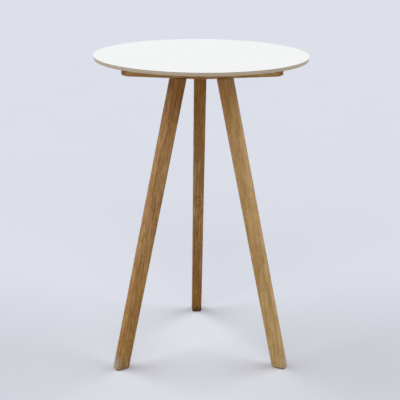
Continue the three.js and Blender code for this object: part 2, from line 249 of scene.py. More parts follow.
class StageSettings(bpy.types.PropertyGroup):
    """Camera and light"""

    camera_distance: length("Camera distance", 2.956427, "From the table's axis, level with the floor")
    camera_height: length("Camera height", 1.5069, "Above the floor")
    camera_round: angle("Camera round", 2.026, "How far the camera has gone round the table")
    camera_yaw: angle("Camera yaw", -0.012, "Turn to the right")
    camera_pitch: angle("Camera pitch", 17.9, "Tilt downwards")
    camera_roll: angle("Camera roll", 0.432, "Lean of the picture")
    daylight: colour("Daylight", "#f3f9ff", "Colour of the lights from both sides")
    lens: bpy.props.FloatProperty(
        name="Lens",
        description="Focal length on a 36 mm wide sensor",
        default=81.901,
        min=1,
        unit="CAMERA",
    )
    ambient: strength("Ambient", 0.04, "Light from all round")
    key: strength("Key", 2.25, "Light from the left")
    fill: strength("Fill", 2.1, "Light from the right")
    front: strength("Front", 1.4, "Light from beside the camera")


# Modelling helpers


def select_only(*pieces):
    """Selects these objects and makes the first one active."""
    bpy.ops.object.select_all(action="DESELECT")
    for piece in pieces:
        piece.select_set(True)
    bpy.context.view_layer.objects.active = pieces[0]


def pick(kind, test):
    """In edit mode, selects only the corners or edges whose list of points passes the test."""
    bpy.ops.mesh.select_mode(type=kind)
    bpy.ops.mesh.select_all(action="DESELECT")
    data = bpy.context.object.data
    shape = bmesh.from_edit_mesh(data)
    if kind == "VERT":
        found = [corner for corner in shape.verts if test([corner.co])]
    else:
        found = [edge for edge in shape.edges if test([corner.co for corner in edge.verts])]
    if not found:
        raise RuntimeError(f"nothing to select on {bpy.context.object.name}")
    for element in found:
        element.select_set(True)
    shape.select_flush_mode()
    bmesh.update_edit_mesh(data)


def apply_place(piece):
    """Puts an object's place, turn and scale into its mesh."""
    select_only(piece)
    bpy.ops.object.transform_apply(location=True, rotation=True, scale=True)


def block(low, high):
    """A block between two corners, in edit mode."""
    bpy.ops.object.select_all(action="DESELECT")
    bpy.ops.mesh.primitive_cube_add(size=1, location=(low + high) / 2)
    piece = bpy.context.object
    piece.scale = high - low
    apply_place(piece)
    bpy.ops.object.mode_set(mode="EDIT")
    return piece


def disc(radius, low, high, sides):
    """A round blank between two heights, in edit mode."""
    bpy.ops.object.select_all(action="DESELECT")
    bpy.ops.mesh.primitive_cylinder_add(
        vertices=sides, radius=radius, depth=high - low, location=(0, 0, (low + high) / 2)
    )
    piece = bpy.context.object
    apply_place(piece)
    bpy.ops.object.mode_set(mode="EDIT")
    return piece


def bore(piece, holes):
    """Drills holes, each given by its two ends, its diameter and its number of sides."""
    drills = []
    for start, end, diameter, sides in holes:
        along = end - start
        bpy.ops.object.select_all(action="DESELECT")
        bpy.ops.mesh.primitive_cylinder_add(
            vertices=sides,
            radius=diameter / 2,
            depth=along.length,
            location=(start + end) / 2,
            rotation=along.to_track_quat("Z", "Y").to_euler(),
        )
        drills.append(bpy.context.object)
    select_only(*drills)
    bpy.ops.object.join()
    drill = bpy.context.object
    apply_place(drill)
    cutter = piece.modifiers.new("holes", "BOOLEAN")
    cutter.operation = "DIFFERENCE"
    cutter.solver = "EXACT"
    cutter.use_self = True
    cutter.object = drill
    select_only(piece)
    bpy.ops.object.modifier_apply(modifier=cutter.name)
    bpy.data.objects.remove(drill)


def smooth(piece):
    """Shades curved parts smooth and keeps flat faces flat."""
    select_only(piece)
    bpy.ops.object.shade_smooth_by_angle(angle=SMOOTH_BELOW)
    even = piece.modifiers.new("even normals", "WEIGHTED_NORMAL")
    even.keep_sharp = True
    bpy.ops.object.modifier_apply(modifier=even.name)


def on_arm(master, name, arm):
    """A copy, with its own mesh, of a piece made along +X, turned onto an arm of the table."""
    select_only(master)
    bpy.ops.object.duplicate()
    copy = bpy.context.object
    copy.rotation_euler.z = ARMS[arm]
    apply_place(copy)
    copy.name = name
    copy.data.name = name
    return copy


def settle(piece, node, material):
    """Gives a piece its finish and puts it in the place of a node."""
    piece.data.materials.clear()
    piece.data.materials.append(material)
    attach(piece, "root")
    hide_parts(node)


# Places that follow from the frame


def middle(node):
    """Middle of a node's box."""
    low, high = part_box(node)
    return (low + high) / 2


def on_master(node):
    """Middle of a node of the rear arm, turned onto +X, where the arms' pieces are modelled."""
    return Matrix.Rotation(-ARMS["rear"], 3, "Z") @ middle(node)


def bearer_box():
    """The underside of the top, and a bearer's reach and depth at the middle of the table."""
    low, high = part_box("bearer_rear")
    return high.z, high.y, high.z - low.z


def bearer_rise(sizes):
    """How far a bearer's underside rises for each metre outwards."""
    _, reach, root = bearer_box()
    return (root - sizes.bearer_end_depth) / reach


def bearer_underside(sizes, out):
    """Height of a bearer's underside at a distance from the table's axis."""
    top, _, root = bearer_box()
    return top - root + bearer_rise(sizes) * out


def joint_axis(sizes):
    """Direction square to the joint of leg and bearer, upwards."""
    return Vector((-bearer_rise(sizes), 0, 1)).normalized()


def on_joint(sizes, up):
    """A point over the middle of the joint of leg and bearer, square to it."""
    start = Vector((sizes.leg_top_out, 0, bearer_underside(sizes, sizes.leg_top_out)))
    return start + joint_axis(sizes) * up


def leg_dowel_holes(sizes):
    """Bores for the dowels between leg and bearer."""
    reach = joint_axis(sizes) * sizes.leg_dowel_depth
    centres = [on_master(f"leg_dowel_{row}_rear") for row in ROWS]
    return [(centre - reach, centre + reach, sizes.dowel_hole, HOLE) for centre in centres]


# Materials


def add(tree, kind, inputs, **settings):
    """Adds a node with its settings, and sets or links its inputs."""
    made = tree.nodes.new("ShaderNode" + kind)
    for name, value in settings.items():
        setattr(made, name, value)
    for name, value in inputs.items():
        if isinstance(value, bpy.types.NodeSocket):
            tree.links.new(value, made.inputs[name])
        else:
            made.inputs[name].default_value = value
    return made


def new_material(name):
    """An empty material with its node tree and its shader."""
    material = bpy.data.materials.new(name)
    material.use_nodes = True
    tree = material.node_tree
    return material, tree, tree.nodes["Principled BSDF"]


def four(rgb):
    """A colour with full opacity."""
    return (*rgb, 1)


def oiled_oak(
    name,
    colours,
    turn,
    start,
    painted_shade_head_tone,
    tone,
    foot_tone,
    pith,
    lean,
    figure,
    ring_gap,
    ring_depth,
    worn,
    scuff_size,
    scuffed,
    marks_to_floor,
):
    """Solid oak, planed, sanded and oiled: matt, with rings cut to flames or lines and short dark pores."""
    material, tree, shader = new_material(name)
    place = add(tree, "TexCoord", {})
    board = add(
        tree,
        "Mapping",
        {"Vector": place.outputs["Object"], "Location": start, "Rotation": turn},
        vector_type="TEXTURE",
    )
    # Growth wanders 6 mm from straight over a forearm's length
    forearm = 0.25
    sway = (0.006, 0.006, 0)
    wander = add(tree, "TexNoise", {"Vector": board.outputs[0], "Scale": 1 / forearm, "Detail": 2})
    bent = add(
        tree,
        "VectorMath",
        {0: wander.outputs["Color"], 1: sway, 2: board.outputs[0]},
        operation="MULTIPLY_ADD",
    )
    grain = add(
        tree,
        "Mapping",
        {"Vector": bent.outputs[0], "Location": pith, "Rotation": lean},
        vector_type="TEXTURE",
    )
    # Rings are 2 mm apart, and are drawn further apart to show
    rings = add(
        tree,
        "TexWave",
        {"Vector": grain.outputs[0], "Scale": WAVE / ring_gap, "Distortion": 1.5, "Detail": 2},
        wave_type="RINGS",
        rings_direction="Z",
        wave_profile="SAW",
    )
    early = add(
        tree,
        "MapRange",
        {"Value": rings.outputs["Fac"], "From Min": 0.35, "From Max": 1},
        interpolation_type="SMOOTHSTEP",
    )
    # Each pattern's size across and along the grain, and its detail. Streaks are 1 mm wide and drawn 3.5 mm
    # wide to show, and pores are 0.3 mm wide and drawn 1.6 mm wide to show
    patterns = {}
    for pattern, across, along, detail in (
        ("drift", 0.014, 0.3, 3),
        ("cloud", 0.011, 0.045, 2),
        ("streak", 0.0035, 0.1, 3),
        ("pore", 0.0016, 0.013, 1),
        ("crowd", 0.02, 0.07, 1),
    ):
        fine = (1 / across, 1 / across, 1 / along)
        spot = add(tree, "VectorMath", {0: grain.outputs[0], 1: fine}, operation="MULTIPLY")
        noise = add(tree, "TexNoise", {"Vector": spot.outputs[0], "Scale": 1, "Detail": detail})
        patterns[pattern] = noise.outputs[0]
    darkness = add(tree, "Math", {0: early.outputs[0], 1: ring_depth}, operation="MULTIPLY").outputs[0]
    for pattern, weight in (("drift", 0.4), ("cloud", 0.45 * figure), ("streak", 0.65 * figure)):
        tint = add(
            tree,
            "MapRange",
            {"Value": patterns[pattern], "From Min": 0.35, "From Max": 0.7, "To Max": weight},
        )
        deeper = add(tree, "Math", {0: darkness, 1: tint.outputs[0]}, operation="ADD", use_clamp=True)
        darkness = deeper.outputs[0]
    pores = add(
        tree,
        "MapRange",
        {"Value": patterns["pore"], "From Min": 0.52, "From Max": 0.66, "To Max": 0.85 * figure},
        interpolation_type="SMOOTHSTEP",
    )
    crowd = add(
        tree, "MapRange", {"Value": patterns["crowd"], "From Min": 0.35, "From Max": 0.65, "To Min": 0.2}
    )
    dashes = add(tree, "Math", {0: pores.outputs[0], 1: crowd.outputs[0]}, operation="MULTIPLY")
    flesh = add(
        tree,
        "Mix",
        {SHARE: darkness, UNDER: four(colours.oak_light), OVER: four(colours.oak_dark)},
        data_type="RGBA",
    )
    pored = add(
        tree,
        "Mix",
        {SHARE: dashes.outputs[0], UNDER: flesh.outputs[MIXED], OVER: four(colours.oak_pore)},
        data_type="RGBA",
    )
    # End grain drinks more oil, so it is darker
    upright = Euler(turn).to_matrix()
    facing = add(tree, "VectorMath", {0: place.outputs["Normal"], 1: upright @ UP}, operation="DOT_PRODUCT")
    square = add(tree, "Math", {0: facing.outputs["Value"]}, operation="ABSOLUTE")
    end = add(
        tree,
        "MapRange",
        {"Value": square.outputs[0], "From Min": 0.75, "From Max": 0.95, "To Max": 0.7},
    )
    cut = add(
        tree,
        "Mix",
        {SHARE: end.outputs[0], UNDER: pored.outputs[MIXED], OVER: four(colours.oak_end)},
        data_type="RGBA",
    )
    height = add(tree, "SeparateXYZ", {0: place.outputs["Object"]}).outputs["Z"]
    # Tone by height: the foot's tone gives way to the middle's between the first two heights, and that to
    # the head's, which is painted shade under the top, between the last two
    hue = four(foot_tone)
    for tint, low, high in ((tone, 0.1, 0.55), (painted_shade_head_tone, 0.78, 0.9)):
        climb = add(tree, "MapRange", {"Value": height, "From Min": low, "From Max": high})
        hue = add(
            tree,
            "Mix",
            {SHARE: climb.outputs[0], UNDER: hue, OVER: four(tint)},
            data_type="RGBA",
        ).outputs[MIXED]
    wood = add(
        tree,
        "Mix",
        {SHARE: 1, UNDER: cut.outputs[MIXED], OVER: hue},
        data_type="RGBA",
        blend_type="MULTIPLY",
    )
    # Mops and shoes rub the last 30 mm grey, in patches of 18 mm with a broken upper edge
    patch_size = 0.018
    broken = 0.05
    patch = add(
        tree, "TexNoise", {"Vector": place.outputs["Object"], "Scale": 1 / patch_size, "Detail": 3}
    )
    ragged = add(tree, "Math", {0: patch.outputs[0], 1: broken, 2: height}, operation="MULTIPLY_ADD")
    foot = add(
        tree,
        "MapRange",
        {"Value": ragged.outputs[0], "From Min": 0.085, "From Max": 0.04},
        interpolation_type="SMOOTHSTEP",
    )
    # They reach the outer face more than the others
    outer = add(tree, "VectorMath", {0: place.outputs["Normal"], 1: upright @ OUT}, operation="DOT_PRODUCT")
    reached = add(
        tree,
        "MapRange",
        {"Value": outer.outputs["Value"], "From Max": 0.9, "To Min": 0.3 * worn, "To Max": worn},
    )
    rubbed = add(tree, "Math", {0: foot.outputs[0], 1: reached.outputs[0]}, operation="MULTIPLY")
    # The grey stays out of the dark grain and the pores
    hard = add(
        tree,
        "MapRange",
        {"Value": darkness, "From Min": 0.3, "From Max": 1, "To Min": 1, "To Max": 0.65},
    )
    open_grain = add(tree, "Math", {0: 1, 1: dashes.outputs[0]}, operation="SUBTRACT")
    ridges = add(tree, "Math", {0: hard.outputs[0], 1: open_grain.outputs[0]}, operation="MULTIPLY")
    grey = add(tree, "Math", {0: rubbed.outputs[0], 1: ridges.outputs[0]}, operation="MULTIPLY")
    greyed = add(
        tree,
        "Mix",
        {SHARE: grey.outputs[0], UNDER: wood.outputs[MIXED], OVER: four(colours.oak_worn)},
        data_type="RGBA",
    )
    # Shoes leave level scuffs there, rubbing takes them off again, and upright marks grow denser over the
    # last 50 mm towards the floor
    wide, high = scuff_size
    fine = (1 / wide, 1 / wide, 1 / high)
    spot = add(tree, "VectorMath", {0: place.outputs["Object"], 1: fine}, operation="MULTIPLY")
    strokes = add(tree, "TexNoise", {"Vector": spot.outputs[0], "Scale": 1, "Detail": 3})
    rise_to_floor = add(tree, "MapRange", {"Value": height, "From Min": 0.05, "From Max": 0, "To Max": marks_to_floor})
    marks_near_floor = add(tree, "Math", {0: strokes.outputs[0], 1: rise_to_floor.outputs[0]}, operation="ADD")
    stroke = add(
        tree,
        "MapRange",
        {"Value": marks_near_floor.outputs[0], "From Min": 0.57, "From Max": 0.74, "To Max": scuffed},
    )
    unrubbed = add(tree, "Math", {0: foot.outputs[0], 1: rubbed.outputs[0]}, operation="SUBTRACT")
    scuffs = add(tree, "Math", {0: stroke.outputs[0], 1: unrubbed.outputs[0]}, operation="MULTIPLY")
    surface = add(
        tree,
        "Mix",
        {SHARE: scuffs.outputs[0], UNDER: greyed.outputs[MIXED], OVER: four(colours.scuff)},
        data_type="RGBA",
    )
    roughness = add(tree, "MapRange", {"Value": darkness, "To Min": 0.5, "To Max": 0.65})
    bump = add(
        tree,
        "Bump",
        {"Height": dashes.outputs[0], "Strength": 0.25, "Distance": 0.0004},
        invert=True,
    )
    tree.links.new(surface.outputs[MIXED], shader.inputs["Base Color"])
    tree.links.new(roughness.outputs[0], shader.inputs["Roughness"])
    tree.links.new(bump.outputs[0], shader.inputs["Normal"])
    shader.inputs["IOR"].default_value = 1.5
    shader.inputs["Specular IOR Level"].default_value = 0.18
    return material


def pressed_laminate(name, colours, tint, roughness, face):
    """Melamine-faced laminate, pressed on a fine-textured plate: even, with a brown core at its edge."""
    material, tree, shader = new_material(name)
    place = add(tree, "TexCoord", {})
    # Its white is faintly cloudy, by the hand's width
    hand = 0.09
    cloud = add(tree, "TexNoise", {"Vector": place.outputs["Object"], "Scale": 1 / hand, "Detail": 4})
    deep = tuple(c * 0.965 for c in tint)
    tone = add(
        tree,
        "Mix",
        {SHARE: cloud.outputs[0], UNDER: four(tint), OVER: four(deep)},
        data_type="RGBA",
    )
    # The printed face is 0.15 mm deep, and below it lies brown paper
    print_depth = 0.00015
    height = add(tree, "SeparateXYZ", {0: place.outputs["Object"]})
    below = add(tree, "Math", {0: height.outputs["Z"], 1: face}, operation="SUBTRACT")
    depth = add(tree, "Math", {0: below.outputs[0]}, operation="ABSOLUTE")
    core = add(tree, "Math", {0: depth.outputs[0], 1: print_depth}, operation="GREATER_THAN")
    layers = add(
        tree,
        "Mix",
        {SHARE: core.outputs[0], UNDER: tone.outputs[MIXED], OVER: four(colours.kraft)},
        data_type="RGBA",
    )
    wiped = add(
        tree,
        "MapRange",
        {"Value": cloud.outputs[0], "To Min": roughness - 0.06, "To Max": roughness + 0.08},
    )
    # The plate's texture is 0.4 mm, drawn at 1.5 mm to show
    drawn = 0.0015
    plate = add(tree, "TexNoise", {"Vector": place.outputs["Object"], "Scale": 1 / drawn, "Detail": 2})
    bump = add(tree, "Bump", {"Height": plate.outputs[0], "Strength": 0.08, "Distance": 0.0002})
    tree.links.new(layers.outputs[MIXED], shader.inputs["Base Color"])
    tree.links.new(wiped.outputs[0], shader.inputs["Roughness"])
    tree.links.new(bump.outputs[0], shader.inputs["Normal"])
    shader.inputs["IOR"].default_value = 1.5
    return material


def birch_plywood(colours, face):
    """Birch plywood, sawn and lacquered at the rim: thin plies in turn across and along their grain."""
    material, tree, shader = new_material("birch plywood, sawn rim")
    place = add(tree, "TexCoord", {})
    # Two plies are 2.9 mm thick, drawn 6.2 mm thick to show, and the uppermost is cut across its grain
    two_plies = 0.0062
    under = add(
        tree,
        "Mapping",
        {"Vector": place.outputs["Object"], "Location": (0, 0, face)},
        vector_type="TEXTURE",
    )
    plies = add(
        tree,
        "TexWave",
        {
            "Vector": under.outputs[0],
            "Scale": WAVE / two_plies,
            "Distortion": 0.25,
            "Detail": 1,
            "Phase Offset": math.pi,
        },
        wave_type="BANDS",
        bands_direction="Z",
        wave_profile="SIN",
    )
    # Fibres run round the rim, 20 mm long and 0.8 mm high
    fine = (1 / 0.02, 1 / 0.02, 1 / 0.0008)
    spot = add(tree, "VectorMath", {0: place.outputs["Object"], 1: fine}, operation="MULTIPLY")
    fibres = add(tree, "TexNoise", {"Vector": spot.outputs[0], "Scale": 1, "Detail": 3})
    fleck = add(
        tree,
        "MapRange",
        {"Value": fibres.outputs[0], "From Min": 0.3, "From Max": 0.75, "To Max": 0.4},
    )
    darkness = add(
        tree,
        "Math",
        {0: plies.outputs["Fac"], 1: 0.7, 2: fleck.outputs[0]},
        operation="MULTIPLY_ADD",
        use_clamp=True,
    )
    tone = add(
        tree,
        "Mix",
        {SHARE: darkness.outputs[0], UNDER: four(colours.ply_long), OVER: four(colours.ply_end)},
        data_type="RGBA",
    )
    roughness = add(tree, "MapRange", {"Value": darkness.outputs[0], "To Min": 0.5, "To Max": 0.68})
    bump = add(
        tree,
        "Bump",
        {"Height": darkness.outputs[0], "Strength": 0.3, "Distance": 0.0002},
        invert=True,
    )
    tree.links.new(tone.outputs[MIXED], shader.inputs["Base Color"])
    tree.links.new(roughness.outputs[0], shader.inputs["Roughness"])
    tree.links.new(bump.outputs[0], shader.inputs["Normal"])
    shader.inputs["IOR"].default_value = 1.5
    return material


def turned_beech(colours):
    """Beech, turned to dowels and left bare: pale and matt, with short flecks."""
    material, tree, shader = new_material("beech, turned dowel")
    place = add(tree, "TexCoord", {})
    # Flecks are 1 mm wide and 4 mm long
    fine = (1 / 0.001, 1 / 0.001, 1 / 0.004)
    spot = add(tree, "VectorMath", {0: place.outputs["Object"], 1: fine}, operation="MULTIPLY")
    flecks = add(tree, "TexNoise", {"Vector": spot.outputs[0], "Scale": 1, "Detail": 2})
    deep = tuple(c * 0.7 for c in colours.beech)
    mark = add(tree, "MapRange", {"Value": flecks.outputs[0], "From Min": 0.5, "From Max": 0.7})
    tone = add(
        tree,
        "Mix",
        {SHARE: mark.outputs[0], UNDER: four(colours.beech), OVER: four(deep)},
        data_type="RGBA",
    )
    bump = add(
        tree,
        "Bump",
        {"Height": mark.outputs[0], "Strength": 0.2, "Distance": 0.0002},
        invert=True,
    )
    tree.links.new(tone.outputs[MIXED], shader.inputs["Base Color"])
    tree.links.new(bump.outputs[0], shader.inputs["Normal"])
    shader.inputs["Roughness"].default_value = 0.65
    shader.inputs["IOR"].default_value = 1.5
    return material


def plated_steel(colours):
    """Steel, bright zinc plated: grey and softly shiny, mottled where the plating varies."""
    material, tree, shader = new_material("steel, bright zinc plated")
    place = add(tree, "TexCoord", {})
    # Patches of the plating are 2.5 mm wide
    patch_size = 0.0025
    mottle = add(
        tree, "TexNoise", {"Vector": place.outputs["Object"], "Scale": 1 / patch_size, "Detail": 3}
    )
    deep = tuple(c * 0.75 for c in colours.zinc)
    tone = add(
        tree,
        "Mix",
        {SHARE: mottle.outputs[0], UNDER: four(colours.zinc), OVER: four(deep)},
        data_type="RGBA",
    )
    roughness = add(tree, "MapRange", {"Value": mottle.outputs[0], "To Min": 0.28, "To Max": 0.46})
    tree.links.new(tone.outputs[MIXED], shader.inputs["Base Color"])
    tree.links.new(roughness.outputs[0], shader.inputs["Roughness"])
    shader.inputs["Metallic"].default_value = 1
    return material


def moulded_nylon(colours):
    """Nylon, moulded in a spark-textured tool: near black and matt, dusty and scuffed where it slides."""
    material, tree, shader = new_material("nylon, moulded")
    place = add(tree, "TexCoord", {})
    # Spark texture is 0.3 mm, drawn at 0.8 mm to show, and dust lies in patches of 6 mm
    drawn = 0.0008
    patch_size = 0.006
    spark = add(tree, "TexNoise", {"Vector": place.outputs["Object"], "Scale": 1 / drawn, "Detail": 2})
    dust = add(tree, "TexNoise", {"Vector": place.outputs["Object"], "Scale": 1 / patch_size, "Detail": 3})
    dusty = tuple(c * 2.2 + 0.012 for c in colours.nylon)
    mark = add(
        tree,
        "MapRange",
        {"Value": dust.outputs[0], "From Min": 0.5, "From Max": 0.75, "To Max": 0.6},
    )
    tone = add(
        tree,
        "Mix",
        {SHARE: mark.outputs[0], UNDER: four(colours.nylon), OVER: four(dusty)},
        data_type="RGBA",
    )
    roughness = add(tree, "MapRange", {"Value": dust.outputs[0], "To Min": 0.5, "To Max": 0.75})
    bump = add(tree, "Bump", {"Height": spark.outputs[0], "Strength": 0.2, "Distance": 0.0002})
    tree.links.new(tone.outputs[MIXED], shader.inputs["Base Color"])
    tree.links.new(roughness.outputs[0], shader.inputs["Roughness"])
    tree.links.new(bump.outputs[0], shader.inputs["Normal"])
    shader.inputs["IOR"].default_value = 1.53
    return material


def seen_rays(tree):
    """1 where a surface is seen, straight or in gloss or glass, and 0 where it only throws light."""
    ray = add(tree, "LightPath", {})
    seen = ray.outputs["Is Camera Ray"]
    for kind in ("Is Glossy Ray", "Is Transmission Ray"):
        seen = add(tree, "Math", {0: seen, 1: ray.outputs[kind]}, operation="MAXIMUM").outputs[0]
    return seen


def matt_floor(colours):
    """Floor paint, rolled: pale, matt and faintly cloudy. It is seen paler than it throws light back."""
    material, tree, shader = new_material("floor paint, rolled")
    place = add(tree, "TexCoord", {})
    # A roller's stretch is 0.6 m wide
    stretch = 0.6
    cloud = add(tree, "TexNoise", {"Vector": place.outputs["Object"], "Scale": 1 / stretch, "Detail": 3})
    deep = tuple(c * 0.97 for c in colours.floor)
    tone = add(
        tree,
        "Mix",
        {SHARE: cloud.outputs[0], UNDER: four(colours.floor), OVER: four(deep)},
        data_type="RGBA",
    )
    cover = add(
        tree,
        "Mix",
        {SHARE: seen_rays(tree), UNDER: four(colours.floor_bounce), OVER: tone.outputs[MIXED]},
        data_type="RGBA",
    )
    tree.links.new(cover.outputs[MIXED], shader.inputs["Base Color"])
    shader.inputs["Roughness"].default_value = 0.9
    shader.inputs["Specular IOR Level"].default_value = 0.1
    return material


# Operators, one for each group of like pieces and one for the stage


class TABLE_OT_top(bpy.types.Operator):
    """Model the three layers of the round top"""

    bl_idname = "table.top"
    bl_label = "Top"

    def execute(self, context):
        sizes = context.scene.table_sizes
        colours = context.scene.table_colours
        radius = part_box("top_laminate")[1].x
        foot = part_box("top_backer")[0].z
        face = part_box("top_laminate")[1].z
        core_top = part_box("top_core")[1]
        finishes = {
            "top_laminate": (
                "white_laminate",
                pressed_laminate("laminate, satin white", colours, colours.laminate, SATIN, face),
            ),
            "top_core": ("birch_plywood", birch_plywood(colours, core_top.z)),
            "top_backer": (
                "backer_laminate",
                pressed_laminate("laminate, matt backer", colours, colours.backer, MATT, foot),
            ),
        }
        crown = face - sizes.laminate_ease
        lean = (radius - core_top.x) / (crown - core_top.z)
        for node, (slot, material) in finishes.items():
            low, high = (corner.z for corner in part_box(node))
            piece = disc(radius, low, high, TOP_SIDES)
            for level in (low, high):
                share = (radius - lean * max(0, crown - level)) / radius
                pick("VERT", lambda ends: abs(ends[0].z - level) < NEAR)
                bpy.ops.transform.resize(value=(share, share, 1), center_override=(0, 0, level))
            if node == "top_laminate":
                pick("EDGE", lambda ends: all(abs(c.z - high) < NEAR for c in ends))
                bpy.ops.mesh.bevel(offset=sizes.laminate_ease, segments=EASE_STEPS, affect="EDGES")
            bpy.ops.object.mode_set(mode="OBJECT")
            if node != "top_laminate":
                holes = []
                for arm in ARMS:
                    for row in ROWS:
                        screw = f"top_screw_{row}_{arm}"
                        start = middle(screw)
                        start.z = foot - sizes.screw_hole
                        end = middle(screw)
                        end.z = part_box(screw)[1].z + sizes.fit_gap
                        holes.append((start, end, sizes.screw_hole, NARROW_HOLE))
                bore(piece, holes)
            smooth(piece)
            piece.name = node + "_sheet"
            settle(piece, node, material)
        return {"FINISHED"}


class TABLE_OT_bearers(bpy.types.Operator):
    """Model one tapered bearer and copy it to the three arms"""

    bl_idname = "table.bearers"
    bl_label = "Bearers"

    def execute(self, context):
        sizes = context.scene.table_sizes
        colours = context.scene.table_colours
        top, reach, root = bearer_box()
        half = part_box("bearer_rear")[1].x
        piece = block(Vector((0, -half, top - root)), Vector((reach, half, top)))
        pick("VERT", lambda ends: ends[0].x > reach - NEAR and ends[0].z < top - NEAR)
        bpy.ops.transform.translate(value=(0, 0, root - sizes.bearer_end_depth))
        tip = sizes.fit_gap / 2 / math.sin(MITRE)
        for side in (-1, 1):
            bpy.ops.mesh.select_all(action="SELECT")
            bpy.ops.mesh.bisect(
                plane_co=(tip, 0, 0),
                plane_no=(-math.sin(MITRE), side * math.cos(MITRE), 0),
                use_fill=True,
                clear_outer=True,
            )
        pick(
            "EDGE",
            lambda ends: all(c.x > reach - NEAR for c in ends) and abs(ends[0].y - ends[1].y) < NEAR,
        )
        bpy.ops.mesh.bevel(offset=sizes.bearer_corner, segments=CORNER_STEPS, affect="EDGES")
        pick("EDGE", lambda ends: all(abs(c.z - bearer_underside(sizes, c.x)) < NEAR for c in ends))
        bpy.ops.mesh.bevel(offset=sizes.bearer_edge, segments=EDGE_STEPS, affect="EDGES")
        bpy.ops.object.mode_set(mode="OBJECT")
        below = on_joint(sizes, -sizes.bolt_hole)
        seat = on_joint(sizes, sizes.washer_seat)
        past_seat = on_joint(sizes, sizes.washer_seat + sizes.bolt_hole)
        holes = leg_dowel_holes(sizes)
        holes.append((below, past_seat, sizes.bolt_hole, HOLE))
        holes.append((seat, on_joint(sizes, 2 * root), sizes.washer_hole, HOLE))
        for mitred in ("upper_rear_left", "lower_rear_left", "upper_right_rear", "lower_right_rear"):
            centre = on_master("mitre_dowel_" + mitred)
            across = centre.cross(UP).normalized() * sizes.mitre_dowel_depth
            holes.append((centre - across, centre + across, sizes.dowel_hole, HOLE))
        for row in ROWS:
            head = on_master(f"top_screw_{row}_rear")
            head.z = top - sizes.screw_grip
            holes.append((head - UP * root, head, sizes.screw_counterbore, WIDE_HOLE))
            holes.append((head - UP * root, head + UP * root, sizes.screw_hole, HOLE))
        bore(piece, holes)
        smooth(piece)
        for index, arm in enumerate(ARMS):
            copy = on_arm(piece, f"oak_bearer_{arm}", arm)
            material = oiled_oak(
                f"oak, planed and oiled, {arm} bearer",
                colours,
                (0, math.pi / 2, ARMS[arm]),
                (0.1 * index, 0.05, top),
                **BOARDS["bearer"],
            )
            settle(copy, f"bearer_{arm}", material)
        bpy.data.objects.remove(piece)
        return {"FINISHED"}


class TABLE_OT_legs(bpy.types.Operator):
    """Model one splayed leg, cut to its bearer's slope, and copy it to the three arms"""

    bl_idname = "table.legs"
    bl_label = "Legs"

    def execute(self, context):
        sizes = context.scene.table_sizes
        colours = context.scene.table_colours
        foot_out = on_master("foot_glide_rear").x
        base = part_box("foot_glide_rear")[1].z
        joint = bearer_underside(sizes, sizes.leg_top_out)
        lean = (sizes.leg_top_out - foot_out) / (joint - base)
        crown = joint + sizes.leg_depth
        half = Vector((sizes.leg_depth, sizes.leg_top_width, 0)) / 2
        piece = block(Vector((-half.x, -half.y, base)), Vector((half.x, half.y, crown)))
        for side, radius in ((1, sizes.leg_outer_edge), (-1, sizes.leg_inner_edge)):
            pick(
                "EDGE",
                lambda ends: abs(ends[0].z - ends[1].z) > NEAR and side * ends[0].x > half.x - NEAR,
            )
            bpy.ops.mesh.bevel(offset=radius, segments=LONG_EDGE_STEPS, affect="EDGES")
        taper = (sizes.leg_top_width - sizes.leg_foot_width) / joint / 2
        for level in (base, crown):
            shift = foot_out + lean * (level - base)
            for side in (-1, 1):
                widen = side * taper * (level - joint)
                pick("VERT", lambda ends: abs(ends[0].z - level) < NEAR and side * ends[0].y > 0)
                bpy.ops.transform.translate(value=(shift, widen, 0))
        bpy.ops.mesh.select_all(action="SELECT")
        bpy.ops.mesh.bisect(
            plane_co=(sizes.leg_top_out, 0, joint - sizes.fit_gap),
            plane_no=joint_axis(sizes),
            use_fill=True,
            clear_outer=True,
        )

        def at_head(ends):
            return all(abs(c.z + sizes.fit_gap - bearer_underside(sizes, c.x)) < NEAR for c in ends)

        pick("EDGE", at_head)
        bpy.ops.mesh.bevel(offset=sizes.leg_head_ease, segments=EASE_STEPS, affect="EDGES")
        pick("EDGE", lambda ends: all(c.z < base + NEAR for c in ends))
        bpy.ops.mesh.bevel(offset=sizes.leg_foot_ease, segments=EASE_STEPS, affect="EDGES")
        bpy.ops.object.mode_set(mode="OBJECT")
        axis = Vector((foot_out, 0, 0))
        nail_end = axis + UP * (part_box("glide_nail_rear")[1].z + sizes.fit_gap)
        above = on_joint(sizes, sizes.insert_hole)
        holes = leg_dowel_holes(sizes)
        holes.append((on_joint(sizes, -sizes.insert_depth), above, sizes.insert_hole, HOLE))
        holes.append((on_joint(sizes, -sizes.bolt_depth), above, sizes.bolt_hole, HOLE))
        holes.append((axis, nail_end, sizes.nail_hole, NARROW_HOLE))
        bore(piece, holes)
        smooth(piece)
        for arm in ARMS:
            copy = on_arm(piece, f"oak_leg_{arm}", arm)
            foot = Matrix.Rotation(ARMS[arm], 3, "Z") @ Vector((foot_out, 0, base))
            material = oiled_oak(
                f"oak, planed and oiled, {arm} leg",
                colours,
                (0, math.atan(lean), ARMS[arm]),
                foot,
                **BOARDS[f"{arm} leg"],
            )
            settle(copy, f"leg_{arm}", material)
        bpy.data.objects.remove(piece)
        return {"FINISHED"}


